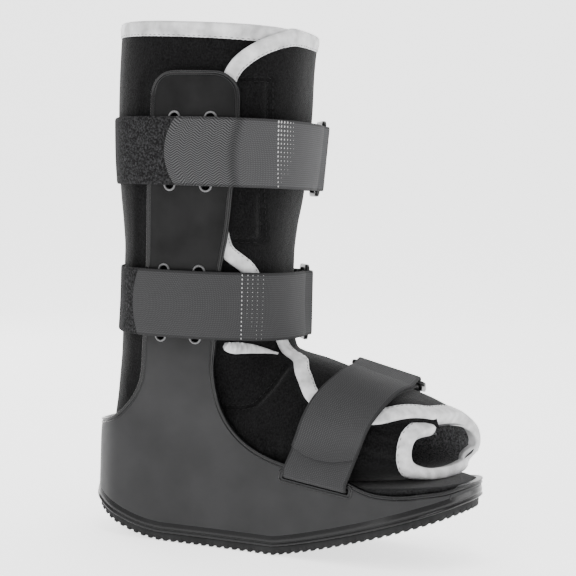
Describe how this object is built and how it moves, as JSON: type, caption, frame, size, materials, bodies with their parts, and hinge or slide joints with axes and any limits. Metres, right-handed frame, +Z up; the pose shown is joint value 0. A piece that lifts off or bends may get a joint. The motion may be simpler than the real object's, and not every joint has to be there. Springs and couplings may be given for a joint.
{
  "type": "fracture boot",
  "caption": "Tall walker boot for a healing leg: moulded frame on a rocker sole, open-toe foam liner, hook-and-loop straps folded back through loops.",
  "frame": {"origin": "on the floor, under the middle of the sole's length and width, in the sole's flat part", "axes": "+X towards the toe, +Y to the wearer's left, +Z up the leg"},
  "size_m": [0.303, 0.1411, 0.3895],
  "materials": {
    "sole_rubber": "matt black rubber",
    "moulded_plastic": "satin dark grey moulding",
    "foam_fabric": "brushed black fabric over foam",
    "strap_webbing": "dark grey woven webbing",
    "ring_plastic": "smooth black plastic"
  },
  "bodies": {
    "root": {"outsole": "sole_rubber", "shell": "moulded_plastic", "insole": "foam_fabric", "liner": "foam_fabric", "upper_strap": "strap_webbing", "upper_ring_tab": "strap_webbing", "upper_ring": "ring_plastic", "middle_strap": "strap_webbing", "middle_ring_tab": "strap_webbing", "middle_ring": "ring_plastic", "forefoot_strap": "strap_webbing", "forefoot_ring_tab": "strap_webbing", "forefoot_ring": "ring_plastic"}
  },
  "joints": []
}
